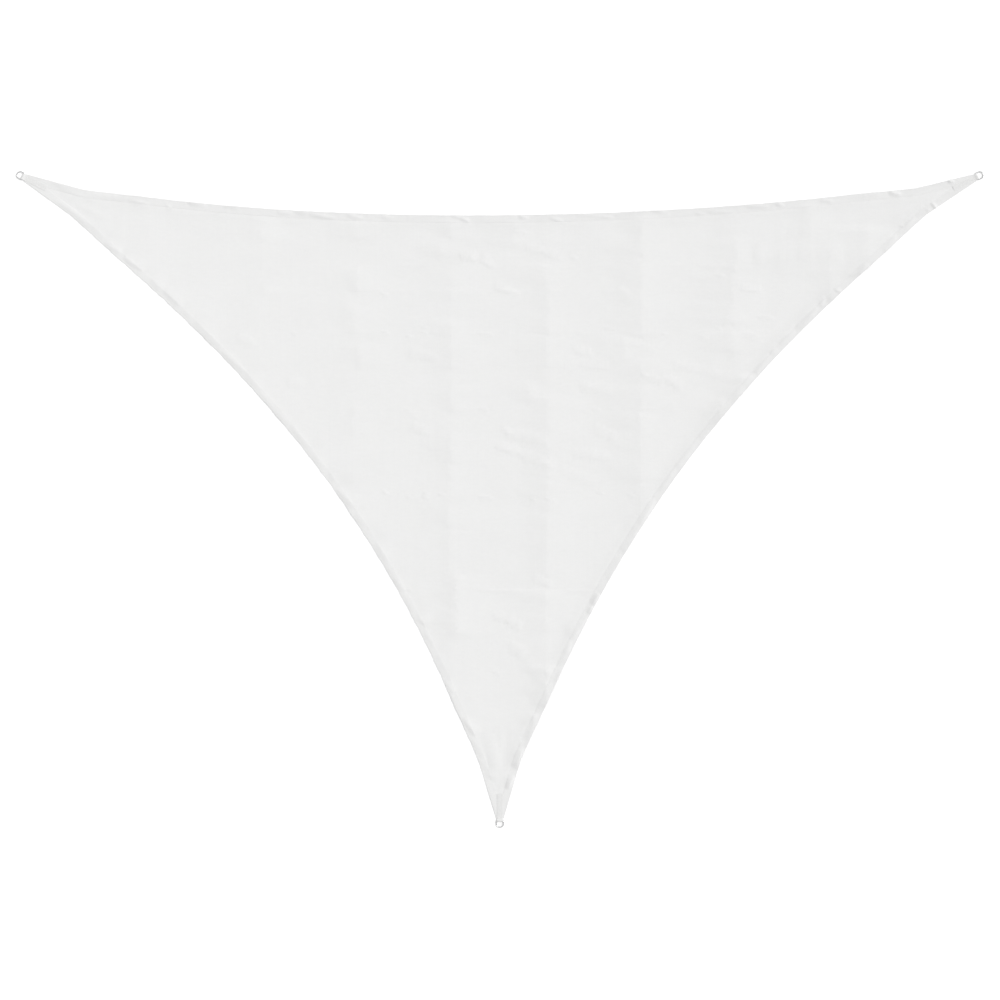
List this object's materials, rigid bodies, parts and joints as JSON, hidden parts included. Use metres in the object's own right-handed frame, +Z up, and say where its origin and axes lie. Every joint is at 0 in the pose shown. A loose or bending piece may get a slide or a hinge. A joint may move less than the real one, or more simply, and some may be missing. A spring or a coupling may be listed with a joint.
{
  "type": "shade sail",
  "caption": "Triangular shade sail of knitted cloth, laid out flat, with a sewn hem, hollow-cut edges and a webbing strap with a steel D-ring at each corner.",
  "frame": {"origin": "on the ground under the middle of the whole sail as it lies", "axes": "+X along the wide edge towards the right corner, +Y from the bottom corner towards the wide edge, +Z up off the ground"},
  "size_m": [6.0454, 4.1024, 0.01],
  "materials": {
    "cloth": "white knitted cloth",
    "webbing": "white woven webbing",
    "ring": "polished stainless wire"
  },
  "bodies": {
    "root": {"sail_cloth": "cloth", "corner_strap_left": "webbing", "corner_strap_right": "webbing", "corner_strap_bottom": "webbing", "d_ring_left": "ring", "d_ring_right": "ring", "d_ring_bottom": "ring"}
  },
  "joints": []
}
